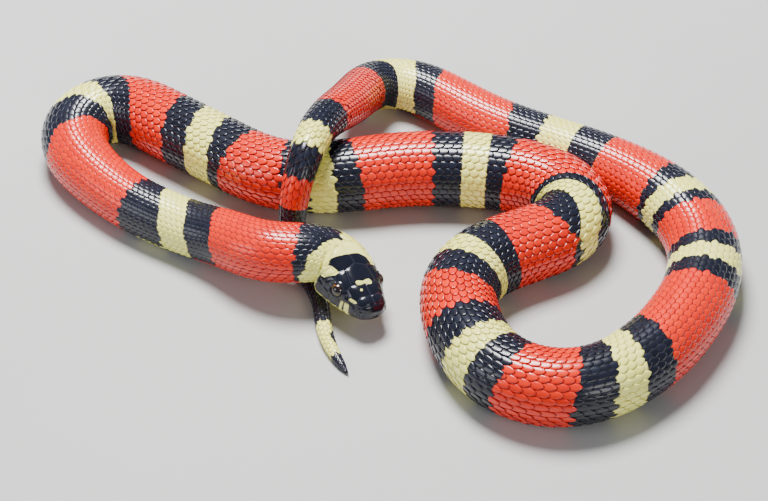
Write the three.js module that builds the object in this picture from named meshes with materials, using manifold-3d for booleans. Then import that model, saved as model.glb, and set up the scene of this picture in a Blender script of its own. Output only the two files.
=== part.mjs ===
// A milk snake lying in loose loops, life size, in millimetres, +Z up.
// The belly line of the animal is one smooth curve from the back of the head to the tip of the tail.
// Its tail climbs over the back half way along, hangs down the near side and runs out under the neck.
import * as THREE from 'three';
import { mergeVertices } from 'three/addons/utils/BufferGeometryUtils.js';
import Module from 'manifold-3d';

const wasm = await Module();
wasm.setup();

// Route of the belly, from the head to the tail tip: x, y, height of the belly, width of the body
const routePosts = [
  [-7.1, -31.9, 5.3, 18.6], [-9.2, -27.8, 6.3, 18.8], [-11.5, -24.1, 7.2, 19], [-15, -21.2, 7.9, 19.4],
  [-19.8, -20.2, 8.1, 20], [-25.4, -20.6, 7.9, 20.4], [-31.4, -20.2, 7.2, 20.5], [-37.8, -18, 6, 20.4],
  [-44.4, -13.2, 4.2, 20.1], [-51, -7.2, 2.2, 19.8], [-58.8, -2.4, 0.6, 19.4], [-66.8, 2.4, 0, 19.3],
  [-75.2, 7.6, 0, 19.4], [-84.6, 14.2, 0, 19.6], [-93.6, 23.2, 0, 20.4], [-101, 32, 0, 21.6],
  [-105.6, 41.4, 0, 22.8], [-105.6, 50.8, 0, 23.8], [-100.6, 58.4, 0, 24.4], [-92.2, 61.4, 0, 24.8],
  [-83.8, 59.2, 0, 25], [-76.6, 54, 0, 25], [-69, 48, 0, 25], [-60, 41.6, 0, 24.8],
  [-51.2, 35, 0, 24.6], [-43, 29, 0, 24.6], [-35, 25.2, 0, 24.8], [-27, 23.2, 0, 25.2],
  [-19, 23.2, 0, 25.6], [-9, 24, 0, 26], [1, 26, 0, 26.2], [12, 27.2, 0, 26.4],
  [22, 27.2, 0, 26.5], [32, 26.4, 0, 26.5], [41.2, 25, 0, 26.3], [50.4, 22.6, 0, 26],
  [59, 18, 0, 25.7], [64, 10.4, 0, 25.5], [63.6, 1.2, 0, 25.4], [57.6, -5.8, 0, 25.4],
  [50, -9.8, 0, 25.4], [42.4, -13.4, 0, 25.5], [35, -17.6, 0, 25.6], [29, -23.2, 0, 25.4],
  [25, -30.8, 0, 25.2], [24.2, -40, 0, 25], [26, -50.6, 0, 25], [30.2, -61, 0, 25],
  [37, -69.4, 0, 25], [47.4, -74.6, 0, 25], [58.4, -74.8, 0, 24.6], [68.8, -71, 0, 24],
  [78.2, -64, 0, 24], [86.6, -55.6, 0, 24], [93.2, -46, 0, 24], [99, -36, 0, 24],
  [102.8, -25.6, 0, 24], [104.6, -14.6, 0, 24], [103.4, -3.4, 0, 24], [99, 7.8, 0, 23.8],
  [91.6, 18, 0, 23.2], [82.8, 27.6, 0, 21.6], [72.6, 36.2, 0, 20.2], [60.8, 43, 0, 19.7],
  [48.2, 49, 0, 20], [36.2, 56.6, 0, 20.2], [25.4, 66.2, 0, 20.2], [15.8, 75, 0, 19.8],
  [4.8, 79, 0.4, 19], [-4.2, 74, 3, 18], [-7.6, 63, 8, 17.2], [-10.8, 52, 13, 16.4],
  [-14.2, 43, 17.4, 15.4], [-17.2, 35, 21.3, 14.4], [-20, 27, 24.3, 13.2], [-22.6, 19.6, 25, 12.2],
  [-24.8, 12.6, 23.5, 11.4], [-26.8, 7.6, 19, 10.6], [-28.2, 4.7, 13, 10], [-29, 3.4, 7, 9.4],
  [-29, -1, 1, 8.6], [-28.2, -7, 0, 7.8], [-25.6, -13, 0, 7], [-22, -20.4, 0, 6.2],
  [-19.2, -28, 0, 5.8], [-18.4, -36, 0, 5.6], [-17.4, -43.4, 0, 5.2], [-15, -50.4, 0, 4.4],
  [-12.2, -55.8, 0, 3], [-9.6, -60.2, 0, 1.7], [-7, -64.6, 0, 0.4],
];

// Moves the route so that the origin is under the middle of the whole snake
const planShift = [0.46, -0.06];

// Cross section of the body, as shares of its half width
const crownHeight = 0.94;
const bellyDepth = 0.86;
const bellyFlatness = 1.12;
const neckSlimness = 0.16;
const neckSlimRun = 18;
const bodySides = 20;
const ringStep = 5.6;
const bendRingStep = 4.2;
const faceGap = 0.3;
// Share of the bend's radius that the inner side of the body may fill
const innerRoom = 0.88;
const headingReach = 1;
const hangingReach = 6;
const hangStart = 680;
const hangEnd = 715;
const bendTurn = Math.PI / 3;
const shortLength = 45;
const tipLength = 0.8;

// Head: distances from the snout tip, and heights from the head's own axis
const headStraight = 16.3;
const headEnd = 27;
const headBlendStart = 22;
const headBlendEnd = 32;
const noseRound = 2.6;
const noseFullness = 0.42;
const headRoll = THREE.MathUtils.degToRad(10);
const headRollRun = 9;
const halfWidths = [[0, 4.9], [3, 5.9], [5, 6.6], [8, 7.7], [11.5, 8.8], [15, 10], [18, 10.9],
  [21, 11.2], [24, 10.9], [27, 10.4], [32, 9.9]];
const topHeights = [[0, 2.1], [2, 2.7], [4, 3.2], [8.5, 4.1], [12, 4.7], [16, 5.3], [20, 6], [25, 7],
  [32, 7.6]];
const chinDepths = [[0, 3.9], [3, 5.1], [6, 6.1], [10, 7.1], [14, 7.9], [18, 8.5], [23, 8.7], [32, 8.2]];
const mouthHeights = [[0, -2.1], [3, -2.9], [7, -4.2], [12, -5.2], [16, -5.3], [19.5, -4.3],
  [25, -1.6], [32, 0]];
const crownSquareness = [[0, 2.2], [4, 2.6], [12, 2.7], [18, 2.3], [26, 2], [32, 2]];
const jawSquareness = [[0, 2.2], [10, 2.4], [20, 2.3], [32, 2.1]];
const lipStep = 0.35;
const mouthDepth = 0.75;
const mouthGap = 0.4;
const seamStep = 0.06;
const tipGroove = 0.15;
const mouthCorner = 20.5;
const cornerFade = 3;
const browAt = 12.1;
const browRun = 2.6;
const browRise = 0.55;
const browAngle = THREE.MathUtils.degToRad(52);
const browSpread = 0.28;
const browLift = 0.6;
const crownColumns = 8;
const jawColumns = 5;
const headRings = [0.12, 0.45, 0.95, 1.6, 2.4, 3.4, 4.6, 6, 7.4, 8.8, 10.2, 11.5, 12.8, 14.2, 15.8,
  17.4, 18.8, 20, 21.2, 22.6, 24, 25.5, headEnd];

// Eyes and nostrils
const eyeRadius = 2.3;
const eyeFromSnout = 12.1;
const eyeSide = 7.1;
const eyeHeight = 0.1;
const socketGap = 0.3;
const nostrilRadius = 0.62;
const nostrilFromSnout = 3.4;
const nostrilSide = 5.75;
const nostrilHeight = -0.3;
const nostrilStretch = 1.5;

// Where the body is parted, as distances from the back of the head along the belly
const neckEnd = 52;
const bodyEnds = [92, 128, 160, 202, 250, 292, 318, 344, 384, 420, 458, 504, 548, 594, 640];
const tailEnds = [682, 722, 756];

const colours = {
  black: 0x14141c, red: 0xd8280e, yellow: 0xe6e59a, eye: 0x0c0b0b,
};

function skinMaterial(colour) {
  return new THREE.MeshStandardMaterial({ color: colour, roughness: 0.32, metalness: 0 });
}

// A value that runs smoothly through a list of [place, value] pairs
function smoothProfile(stations, place) {
  const last = stations.length - 1;
  let i = 0;
  while (i < last - 1 && place > stations[i + 1][0]) i += 1;
  const slope = (k) => {
    const a = stations[Math.max(k - 1, 0)];
    const b = stations[Math.min(k + 1, last)];
    return (b[1] - a[1]) / (b[0] - a[0]);
  };
  const [x0, y0] = stations[i];
  const [x1, y1] = stations[i + 1];
  const span = x1 - x0;
  const f = THREE.MathUtils.clamp((place - x0) / span, 0, 1);
  const f2 = f * f;
  const f3 = f2 * f;
  const start = (2 * f3 - 3 * f2 + 1) * y0 + (f3 - 2 * f2 + f) * span * slope(i);
  return start + (3 * f2 - 2 * f3) * y1 + (f3 - f2) * span * slope(i + 1);
}

// Point on the route at parameter t, by a uniform cubic B-spline: x, y, belly height, width
function routeAt(t) {
  const i = THREE.MathUtils.clamp(Math.floor(t), 0, routePosts.length - 4);
  const f = t - i;
  const weights = [(1 - f) ** 3, 3 * f ** 3 - 6 * f ** 2 + 4, -3 * f ** 3 + 3 * f ** 2 + 3 * f + 1, f ** 3];
  return [0, 1, 2, 3].map((c) => weights.reduce((sum, w, k) => sum + (w * routePosts[i + k][c]) / 6, 0));
}

const samplesPerPost = 24;
const routeTable = buildRouteTable();
const routeLength = routeTable[routeTable.length - 1].along;

function buildRouteTable() {
  const count = (routePosts.length - 3) * samplesPerPost;
  const table = [];
  let along = 0;
  let before = null;
  for (let k = 0; k <= count; k += 1) {
    const t = k / samplesPerPost;
    const [x, y, z] = routeAt(t);
    const here = new THREE.Vector3(x, y, z);
    if (before) along += here.distanceTo(before);
    table.push({ t, along });
    before = here;
  }
  return table;
}

function routeAlong(distance) {
  const d = THREE.MathUtils.clamp(distance, 0, routeLength);
  let low = 0;
  let high = routeTable.length - 1;
  while (high - low > 1) {
    const middle = (low + high) >> 1;
    if (routeTable[middle].along > d) high = middle;
    else low = middle;
  }
  const a = routeTable[low];
  const b = routeTable[high];
  const [x, y, z, width] = routeAt(a.t + ((b.t - a.t) * (d - a.along)) / (b.along - a.along));
  return { belly: new THREE.Vector3(x, y, z), half: width / 2 };
}

// How tall the body is for its width: the neck is a little slimmer
function tallness(distance) {
  return 1 - neckSlimness * Math.exp(-((distance / neckSlimRun) ** 2));
}

// Middle of the body, its axis towards the tail, its left side and its back, at a distance along the belly
function bodyFrame(distance) {
  const { belly, half } = routeAlong(distance);
  const tall = tallness(distance);
  const centre = belly.clone().setZ(belly.z + bellyDepth * half * tall);
  const step = 0.2;
  const axis = routeAlong(distance + step).belly.sub(routeAlong(distance - step).belly).normalize();
  // On the hanging tail the plan heading is read over a longer stretch, so that the back doesn't twist
  const hanging = THREE.MathUtils.smoothstep(distance, hangStart, hangEnd);
  const reach = headingReach + (hangingReach - headingReach) * hanging;
  const heading = routeAlong(distance + reach).belly.sub(routeAlong(distance - reach).belly);
  heading.setZ(0).normalize();
  const side = heading.cross(new THREE.Vector3(0, 0, 1));
  side.addScaledVector(axis, -side.dot(axis)).normalize();
  const back = side.clone().cross(axis);
  const roll = headRoll * Math.exp(-((distance / headRollRun) ** 2));
  const rolledSide = side.clone().multiplyScalar(Math.cos(roll)).addScaledVector(back, -Math.sin(roll));
  const rolledBack = back.multiplyScalar(Math.cos(roll)).addScaledVector(side, Math.sin(roll));
  const squeeze = bendSqueeze(distance, side, half);
  return { centre, axis, side: rolledSide, back: rolledBack, half, tall, squeeze };
}

// In a tight bend the inner side of the body is pressed narrower than the outer one
function bendSqueeze(distance, side, half) {
  const step = 1.5;
  const before = routeAlong(distance - step).belly;
  const here = routeAlong(distance).belly;
  const after = routeAlong(distance + step).belly;
  const curve = before.add(after).addScaledVector(here, -2).divideScalar(step * step).dot(side);
  const room = innerRoom / Math.max(Math.abs(curve), 1e-4);
  return { towards: Math.sign(curve), share: Math.min(1, room / half) };
}

// The head is straight, so its frame is the body's frame at the start of the route, moved forward
function snakeFrame(fromSnout) {
  const distance = fromSnout - headStraight;
  const frame = bodyFrame(Math.max(distance, 0));
  if (distance < 0) frame.centre.addScaledVector(frame.axis, distance);
  return frame;
}

function placeIn(frame, across, up) {
  const pressed = across * frame.squeeze.towards > 0 ? across * frame.squeeze.share : across;
  return frame.centre.clone().addScaledVector(frame.side, pressed).addScaledVector(frame.back, up);
}

function power(value, exponent) {
  return Math.sign(value) * Math.abs(value) ** exponent;
}

// Body section: angle 0 is the middle of the back, half a turn is the middle of the belly
function bodySection(frame, angle) {
  const c = Math.cos(angle);
  const height = c >= 0 ? crownHeight * c : -bellyDepth * Math.min(1, -c * bellyFlatness);
  return [frame.half * Math.sin(angle), frame.half * frame.tall * height];
}

// Head section: two rounded quarters that meet at the line of the mouth
function headSection(fromSnout, angle, inward = 0) {
  const nose = fromSnout < noseRound ? (1 - (1 - fromSnout / noseRound) ** 2) ** noseFullness : 1;
  const mouth = smoothProfile(mouthHeights, fromSnout);
  const width = smoothProfile(halfWidths, fromSnout) * nose;
  const top = (smoothProfile(topHeights, fromSnout) - mouth) * nose;
  const chin = (smoothProfile(chinDepths, fromSnout) + mouth) * nose;
  const upper = Math.cos(angle) >= 0;
  const square = 2 / smoothProfile(upper ? crownSquareness : jawSquareness, fromSnout);
  const lip = upper ? 0 : lipStep * lipFade(fromSnout) * nose;
  const across = (width - lip - inward) * power(Math.sin(angle), square);
  const up = mouth + (upper ? top : chin) * power(Math.cos(angle), square);
  const bend = Math.abs(angle) - browAngle;
  const brow = browRise * Math.exp(-(((fromSnout - browAt) / browRun) ** 2) - (bend / browSpread) ** 2);
  return [across + brow * Math.sin(angle), up + browLift * brow * Math.cos(angle)];
}

function lipFade(fromSnout) {
  return 1 - THREE.MathUtils.smoothstep(fromSnout, mouthCorner - cornerFade, mouthCorner + 1);
}

function blendedSection(fromSnout, frame, angle, inward = 0) {
  const head = headSection(Math.min(fromSnout, headBlendEnd), angle, inward);
  const body = bodySection(frame, angle);
  const share = THREE.MathUtils.smoothstep(fromSnout, headBlendStart, headBlendEnd);
  return [0, 1].map((k) => head[k] * (1 - share) + body[k] * share);
}

function bodyRing(distance) {
  const frame = snakeFrame(distance + headStraight);
  const ring = [];
  for (let k = 0; k < bodySides; k += 1) {
    const angle = (2 * Math.PI * k) / bodySides;
    const folded = angle > Math.PI ? angle - 2 * Math.PI : angle;
    const [across, up] = blendedSection(distance + headStraight, frame, folded);
    ring.push(placeIn(frame, across, up));
  }
  return ring;
}

// Columns of a head ring: over the crown to the lip, into the line of the mouth, and round under the jaw
function headColumns(fromSnout) {
  const fade = lipFade(fromSnout) * Math.min(1, fromSnout / noseRound + tipGroove);
  const quarter = Math.PI / 2;
  const oneSide = [];
  for (let k = 1; k <= crownColumns; k += 1) {
    oneSide.push({ angle: (quarter * k) / crownColumns, inward: 0, drop: 0 });
  }
  // The lip columns keep a small step apart where the mouth has run out
  const gap = Math.max(mouthGap * fade, 2 * seamStep);
  oneSide.push({ angle: quarter, inward: mouthDepth * fade, drop: gap / 2 });
  oneSide.push({ angle: quarter + 1e-6, inward: 0, drop: gap });
  for (let k = 1; k < jawColumns; k += 1) {
    oneSide.push({ angle: quarter + (quarter * k) / jawColumns, inward: 0, drop: 0 });
  }
  const otherSide = oneSide.slice().reverse().map((c) => ({ ...c, angle: -c.angle }));
  return [{ angle: 0, inward: 0, drop: 0 }, ...oneSide, { angle: Math.PI, inward: 0, drop: 0 }, ...otherSide];
}

function headRing(fromSnout) {
  const frame = snakeFrame(fromSnout);
  return headColumns(fromSnout).map(({ angle, inward, drop }) => {
    const [across, up] = blendedSection(fromSnout, frame, angle, inward);
    return placeIn(frame, across, up - drop);
  });
}

// A closed solid through a list of rings, each end closed by a fan round its middle or an end point
function loft(rings, startPoint, endPoint) {
  const points = [];
  const triangles = [];
  const sides = rings[0].length;
  rings.forEach((ring) => points.push(...ring));
  for (let r = 0; r + 1 < rings.length; r += 1) {
    for (let k = 0; k < sides; k += 1) {
      const a = r * sides + k;
      const b = r * sides + ((k + 1) % sides);
      const c = a + sides;
      const d = b + sides;
      triangles.push(a, b, c, b, d, c);
    }
  }
  const middle = (ring) => ring.reduce((sum, p) => sum.add(p), new THREE.Vector3()).divideScalar(ring.length);
  const start = points.push(startPoint ?? middle(rings[0])) - 1;
  const end = points.push(endPoint ?? middle(rings[rings.length - 1])) - 1;
  const lastRow = (rings.length - 1) * sides;
  for (let k = 0; k < sides; k += 1) {
    const next = (k + 1) % sides;
    triangles.push(start, next, k);
    triangles.push(end, lastRow + k, lastRow + next);
  }
  const geometry = new THREE.BufferGeometry();
  geometry.setAttribute('position', new THREE.Float32BufferAttribute(points.flatMap((p) => p.toArray()), 3));
  geometry.setIndex(triangles);
  return geometry;
}

function toSolid(geometry) {
  const bare = geometry.clone();
  bare.deleteAttribute('normal');
  bare.deleteAttribute('uv');
  const merged = mergeVertices(bare, 1e-4);
  const mesh = new wasm.Mesh({
    numProp: 3,
    vertProperties: new Float32Array(merged.attributes.position.array),
    triVerts: new Uint32Array(merged.index.array),
  });
  return new wasm.Manifold(mesh);
}

function toGeometry(solid) {
  const largest = solid.decompose().sort((a, b) => b.volume() - a.volume())[0];
  const mesh = largest.getMesh();
  const geometry = new THREE.BufferGeometry();
  geometry.setAttribute('position', new THREE.Float32BufferAttribute(mesh.vertProperties, 3));
  geometry.setIndex(Array.from(mesh.triVerts));
  return geometry;
}

function bodyLength(from, to) {
  const steps = Math.ceil((to - from) / (isBend(from, to) ? bendRingStep : ringStep));
  const rings = [];
  for (let k = 0; k <= steps; k += 1) rings.push(bodyRing(from + ((to - from) * k) / steps));
  return rings;
}

// A length that turns far, or a short one, gets closer rings
function isBend(from, to) {
  return bodyFrame(from).axis.angleTo(bodyFrame(to).axis) > bendTurn || to - from < shortLength;
}

function headPoint(fromSnout, across, up) {
  return placeIn(snakeFrame(fromSnout), across, up);
}

function makeEye(side) {
  const geometry = new THREE.SphereGeometry(eyeRadius, 20, 14);
  const mesh = new THREE.Mesh(geometry, new THREE.MeshStandardMaterial({
    color: colours.eye, roughness: 0.08, metalness: 0,
  }));
  mesh.name = side > 0 ? 'eye_left' : 'eye_right';
  mesh.position.copy(headPoint(eyeFromSnout, side * eyeSide, eyeHeight));
  return mesh;
}

function makeHead() {
  const rings = headRings.map(headRing);
  const tip = headPoint(0, 0, smoothProfile(mouthHeights, 0));
  let solid = toSolid(loft(rings, tip, null));
  for (const side of [-1, 1]) {
    const socket = new THREE.SphereGeometry(eyeRadius + socketGap, 20, 14);
    socket.translate(...headPoint(eyeFromSnout, side * eyeSide, eyeHeight).toArray());
    solid = solid.subtract(toSolid(socket));
    const nostril = new THREE.SphereGeometry(nostrilRadius, 10, 8);
    nostril.scale(nostrilStretch, 1, 1);
    const frame = snakeFrame(nostrilFromSnout);
    const basis = new THREE.Matrix4().makeBasis(frame.axis, frame.side, frame.back);
    nostril.applyMatrix4(basis);
    nostril.translate(...headPoint(nostrilFromSnout, side * nostrilSide, nostrilHeight).toArray());
    solid = solid.subtract(toSolid(nostril));
  }
  const mesh = new THREE.Mesh(toGeometry(solid), skinMaterial(colours.black));
  mesh.name = 'head';
  return mesh;
}

function makeLength(name, from, to, colour, endPoint = null) {
  const mesh = new THREE.Mesh(loft(bodyLength(from, to), null, endPoint), skinMaterial(colour));
  mesh.name = name;
  return mesh;
}

function makeTrunk() {
  const trunk = new THREE.Group();
  const neckStart = headEnd - headStraight + faceGap;
  trunk.add(makeLength('neck', neckStart, neckEnd, colours.yellow));
  let from = neckEnd + faceGap;
  bodyEnds.forEach((to, k) => {
    trunk.add(makeLength(`body_${k + 1}`, from, to, colours.red));
    from = to + faceGap;
  });
  tailEnds.forEach((to, k) => {
    trunk.add(makeLength(`tail_${k + 1}`, from, to, colours.red));
    from = to + faceGap;
  });
  const tipPoint = bodyFrame(routeLength).centre;
  const last = `tail_${tailEnds.length + 1}`;
  trunk.add(makeLength(last, from, routeLength - tipLength, colours.black, tipPoint));
  return trunk;
}

const snake = new THREE.Group();
snake.name = 'milk_snake';
snake.add(makeHead(), makeEye(-1), makeEye(1), makeTrunk());
snake.position.set(planShift[0], planShift[1], 0);

export default snake;
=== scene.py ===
# %% [markdown]
# # A milk snake in its red, black and cream bands
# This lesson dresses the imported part: one skin from snout to tail tip, a coat of single scales laid over
# it like roof tiles, a plated head with the line of its mouth, and two glossy eyes.
# All measures of the animal are in millimetres until a mesh is made, because that is how snakes are
# measured; the meshes themselves are in metres.

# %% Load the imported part
import math

import bpy
import numpy as np
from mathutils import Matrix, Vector


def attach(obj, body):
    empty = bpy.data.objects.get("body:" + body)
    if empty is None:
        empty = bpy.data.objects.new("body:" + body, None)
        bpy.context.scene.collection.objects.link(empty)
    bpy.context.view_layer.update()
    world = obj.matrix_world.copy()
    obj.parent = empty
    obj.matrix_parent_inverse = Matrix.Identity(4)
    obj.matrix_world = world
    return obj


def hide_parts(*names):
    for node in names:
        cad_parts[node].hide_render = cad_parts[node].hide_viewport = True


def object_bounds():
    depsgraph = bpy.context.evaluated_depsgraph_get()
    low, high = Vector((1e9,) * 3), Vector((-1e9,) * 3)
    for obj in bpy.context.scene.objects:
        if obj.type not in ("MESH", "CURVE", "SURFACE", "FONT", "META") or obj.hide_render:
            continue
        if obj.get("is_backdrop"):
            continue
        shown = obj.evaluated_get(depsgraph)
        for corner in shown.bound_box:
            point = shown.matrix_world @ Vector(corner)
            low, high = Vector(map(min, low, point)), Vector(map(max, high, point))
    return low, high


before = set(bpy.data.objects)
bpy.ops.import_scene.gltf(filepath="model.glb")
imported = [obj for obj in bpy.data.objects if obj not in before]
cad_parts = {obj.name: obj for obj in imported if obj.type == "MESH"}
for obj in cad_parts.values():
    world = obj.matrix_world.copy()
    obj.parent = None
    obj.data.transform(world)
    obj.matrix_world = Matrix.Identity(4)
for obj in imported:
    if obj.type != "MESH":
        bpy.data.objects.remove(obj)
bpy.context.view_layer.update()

nodes = sorted(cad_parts)
print(len(nodes), "nodes in the part")

# %% [markdown]
# ## The line the snake lies on
# A real snake is a tube that changes width slowly, so its whole shape can be told by one curve and one
# width. Each post below is a place on the ground, the height of the belly over it, and the body's width.
# A cubic B-spline runs smoothly along the posts. It never wiggles between them, as a curve that goes
# exactly through each post could. A Blender curve with a round bevel would be quicker to draw, but the
# flat belly, the head and every scale need to know their own place on the line, so it is worked out here.

# %% The posts of the route
posts = np.array([
    [-7.1, -31.9, 5.3, 18.6], [-9.2, -27.8, 6.3, 18.8], [-11.5, -24.1, 7.2, 19], [-15, -21.2, 7.9, 19.4],
    [-19.8, -20.2, 8.1, 20], [-25.4, -20.6, 7.9, 20.4], [-31.4, -20.2, 7.2, 20.5], [-37.8, -18, 6, 20.4],
    [-44.4, -13.2, 4.2, 20.1], [-51, -7.2, 2.2, 19.8], [-58.8, -2.4, 0.6, 19.4], [-66.8, 2.4, 0, 19.3],
    [-75.2, 7.6, 0, 19.4], [-84.6, 14.2, 0, 19.6], [-93.6, 23.2, 0, 20.4], [-101, 32, 0, 21.6],
    [-105.6, 41.4, 0, 22.8], [-105.6, 50.8, 0, 23.8], [-100.6, 58.4, 0, 24.4], [-92.2, 61.4, 0, 24.8],
    [-83.8, 59.2, 0, 25], [-76.6, 54, 0, 25], [-69, 48, 0, 25], [-60, 41.6, 0, 24.8],
    [-51.2, 35, 0, 24.6], [-43, 29, 0, 24.6], [-35, 25.2, 0, 24.8], [-27, 23.2, 0, 25.2],
    [-19, 23.2, 0, 25.6], [-9, 24, 0, 26], [1, 26, 0, 26.2], [12, 27.2, 0, 26.4],
    [22, 27.2, 0, 26.5], [32, 26.4, 0, 26.5], [41.2, 25, 0, 26.3], [50.4, 22.6, 0, 26],
    [59, 18, 0, 25.7], [64, 10.4, 0, 25.5], [63.6, 1.2, 0, 25.4], [57.6, -5.8, 0, 25.4],
    [50, -9.8, 0, 25.4], [42.4, -13.4, 0, 25.5], [35, -17.6, 0, 25.6], [29, -23.2, 0, 25.4],
    [25, -30.8, 0, 25.2], [24.2, -40, 0, 25], [26, -50.6, 0, 25], [30.2, -61, 0, 25],
    [37, -69.4, 0, 25], [47.4, -74.6, 0, 25], [58.4, -74.8, 0, 24.6], [68.8, -71, 0, 24],
    [78.2, -64, 0, 24], [86.6, -55.6, 0, 24], [93.2, -46, 0, 24], [99, -36, 0, 24],
    [102.8, -25.6, 0, 24], [104.6, -14.6, 0, 24], [103.4, -3.4, 0, 24], [99, 7.8, 0, 23.8],
    [91.6, 18, 0, 23.2], [82.8, 27.6, 0, 21.6], [72.6, 36.2, 0, 20.2], [60.8, 43, 0, 19.7],
    [48.2, 49, 0, 20], [36.2, 56.6, 0, 20.2], [25.4, 66.2, 0, 20.2], [15.8, 75, 0, 19.8],
    [4.8, 79, 0.4, 19], [-4.2, 74, 3, 18], [-7.6, 63, 8, 17.2], [-10.8, 52, 13, 16.4],
    [-14.2, 43, 17.4, 15.4], [-17.2, 35, 21.3, 14.4], [-20, 27, 24.3, 13.2], [-22.6, 19.6, 25, 12.2],
    [-24.8, 12.6, 23.5, 11.4], [-26.8, 7.6, 19, 10.6], [-28.2, 4.7, 13, 10], [-29, 3.4, 7, 9.4],
    [-29, -1, 1, 8.6], [-28.2, -7, 0, 7.8], [-25.6, -13, 0, 7], [-22, -20.4, 0, 6.2],
    [-19.2, -28, 0, 5.8], [-18.4, -36, 0, 5.6], [-17.4, -43.4, 0, 5.2], [-15, -50.4, 0, 4.4],
    [-12.2, -55.8, 0, 3], [-9.6, -60.2, 0, 1.7], [-7, -64.6, 0, 0.4],
])
plan_shift = np.array([0.46, -0.06, 0])
head_straight = 16.3
print(len(posts), "posts")

# %% Follow the route
samples_per_post = 40


def route(t):
    """Place on the route at a parameter: x, y, height of the belly, width."""
    t = np.atleast_1d(t)
    first = np.clip(t.astype(int), 0, len(posts) - 4)
    f = t - first
    weights = np.stack([(1 - f) ** 3, 3 * f**3 - 6 * f**2 + 4, -3 * f**3 + 3 * f**2 + 3 * f + 1, f**3], -1)
    return np.einsum("ij,ijk->ik", weights / 6, posts[first[:, None] + np.arange(4)])


spans = len(posts) - 3
fine = np.linspace(0, spans, spans * samples_per_post + 1)
fine_places = route(fine)[:, :3]
steps = np.linalg.norm(np.diff(fine_places, axis=0), axis=1)
arc = np.r_[0, np.cumsum(steps)]
whole = arc[-1] + head_straight


def at(s):
    """Place on the route at a distance from the back of the head."""
    return route(np.interp(s, arc, fine))


def ease(x, low, high):
    """A soft step from 0 to 1 between two places."""
    f = np.clip((x - low) / (high - low), 0, 1)
    return f * f * (3 - 2 * f)


def unit(v):
    return v / np.maximum(np.linalg.norm(v, axis=-1, keepdims=True), 1e-9)


print("snout to tail tip", round(whole, 1), "mm")

# %% [markdown]
# ## Which way is up, at every place
# At each place the snake has a middle, a left side and a back. They are worked out once, every quarter of
# a millimetre, and read from that table later. The head is straight, so it only carries the first frame
# forward. Where the body bends tightly its inner side is pressed together, as the real skin is. The neck
# is a little slimmer and rolled a little to its left, and the hanging tail reads its heading over a longer
# stretch, so that its back doesn't twist.

# %% Sizes of the body
belly_depth, crown_height, belly_flatness = 0.86, 0.94, 1.12
neck_slimness, neck_slim_run = 0.16, 18
head_roll, head_roll_run = math.radians(10), 9
heading_reach, hanging_reach, hang_start, hang_end = 1, 6, 680, 715
inner_room, bend_step = 0.88, 1.5
table_step = 0.25
MIDDLE, LEFT, BACK = slice(0, 3), slice(3, 6), slice(6, 9)
HALF, TALL, BEND, ROOM = 9, 10, 11, 12
print("the belly is", belly_depth, "and the back", crown_height, "of the half width from the middle")

# %% The table of frames


def frames(q):
    """Middle, left side, back, half width, tallness, side of the bend and room there, at each place."""
    s = np.maximum(q - head_straight, 0)
    here = at(s)
    half = here[:, 3] / 2
    tall = 1 - neck_slimness * np.exp(-((s / neck_slim_run) ** 2))
    centre = here[:, :3].copy()
    centre[:, 2] += belly_depth * half * tall
    axis = unit(at(s + 0.2)[:, :3] - at(s - 0.2)[:, :3])
    reach = heading_reach + (hanging_reach - heading_reach) * ease(s, hang_start, hang_end)
    heading = at(s + reach)[:, :3] - at(s - reach)[:, :3]
    heading[:, 2] = 0
    left = np.cross(unit(heading), [0.0, 0.0, 1.0])
    left = unit(left - axis * (left * axis).sum(1, keepdims=True))
    back = np.cross(left, axis)
    curve = ((at(s - bend_step) + at(s + bend_step) - 2 * here)[:, :3] / bend_step**2 * left).sum(1)
    room = np.minimum(1, inner_room / np.maximum(np.abs(curve), 1e-4) / half)
    roll = (head_roll * np.exp(-((s / head_roll_run) ** 2)))[:, None]
    left, back = left * np.cos(roll) - back * np.sin(roll), back * np.cos(roll) + left * np.sin(roll)
    centre = centre + axis * np.minimum(q - head_straight, 0)[:, None] + plan_shift
    return np.column_stack([centre, left, back, half, tall, np.sign(curve), room])


table = frames(np.arange(0, whole, table_step))


def look(q):
    """Read the table of frames at any distance from the snout."""
    x = np.clip(np.asarray(q, float) / table_step, 0, len(table) - 1.001)
    i = x.astype(int)
    f = (x - i)[..., None]
    return table[i] * (1 - f) + table[i + 1] * f


print(len(table), "frames in the table")

# %% [markdown]
# ## The section of the body and of the head
# The body is nearly round, a little flat underneath. The head is broader than it is tall and its section
# is squarer. Its two halves meet at the line of the mouth, which sinks behind the snout and rises again at
# the corner of the jaw. A head could also be sculpted from a ball. Profiles are used here because the
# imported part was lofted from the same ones, so the skin fits just inside it. Each profile is a short list
# of distances from the snout tip with a size at each.

# %% Profiles of the head
half_widths = [[0, 4.9], [3, 5.9], [5, 6.6], [8, 7.7], [11.5, 8.8], [15, 10], [18, 10.9], [21, 11.2],
               [24, 10.9], [27, 10.4], [32, 9.9]]
top_heights = [[0, 2.1], [2, 2.7], [4, 3.2], [8.5, 4.1], [12, 4.7], [16, 5.3], [20, 6], [25, 7], [32, 7.6]]
chin_depths = [[0, 3.9], [3, 5.1], [6, 6.1], [10, 7.1], [14, 7.9], [18, 8.5], [23, 8.7], [32, 8.2]]
mouth_heights = [[0, -2.1], [3, -2.9], [7, -4.2], [12, -5.2], [16, -5.3], [19.5, -4.3], [25, -1.6], [32, 0]]
crown_squareness = [[0, 2.2], [4, 2.6], [12, 2.7], [18, 2.3], [26, 2], [32, 2]]
jaw_squareness = [[0, 2.2], [10, 2.4], [20, 2.3], [32, 2.1]]
head_end, body_share_start = 32.0, 22
nose_round, nose_fullness = 2.6, 0.42
lip_step, lip_rise, mouth_corner = 0.35, 0.12, (17.5, 21.5)
brow_from_snout, brow_run, brow_rise, brow_lift = 12.1, 2.6, 0.55, 0.6
brow_angle, brow_spread = math.radians(52), 0.28


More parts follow.
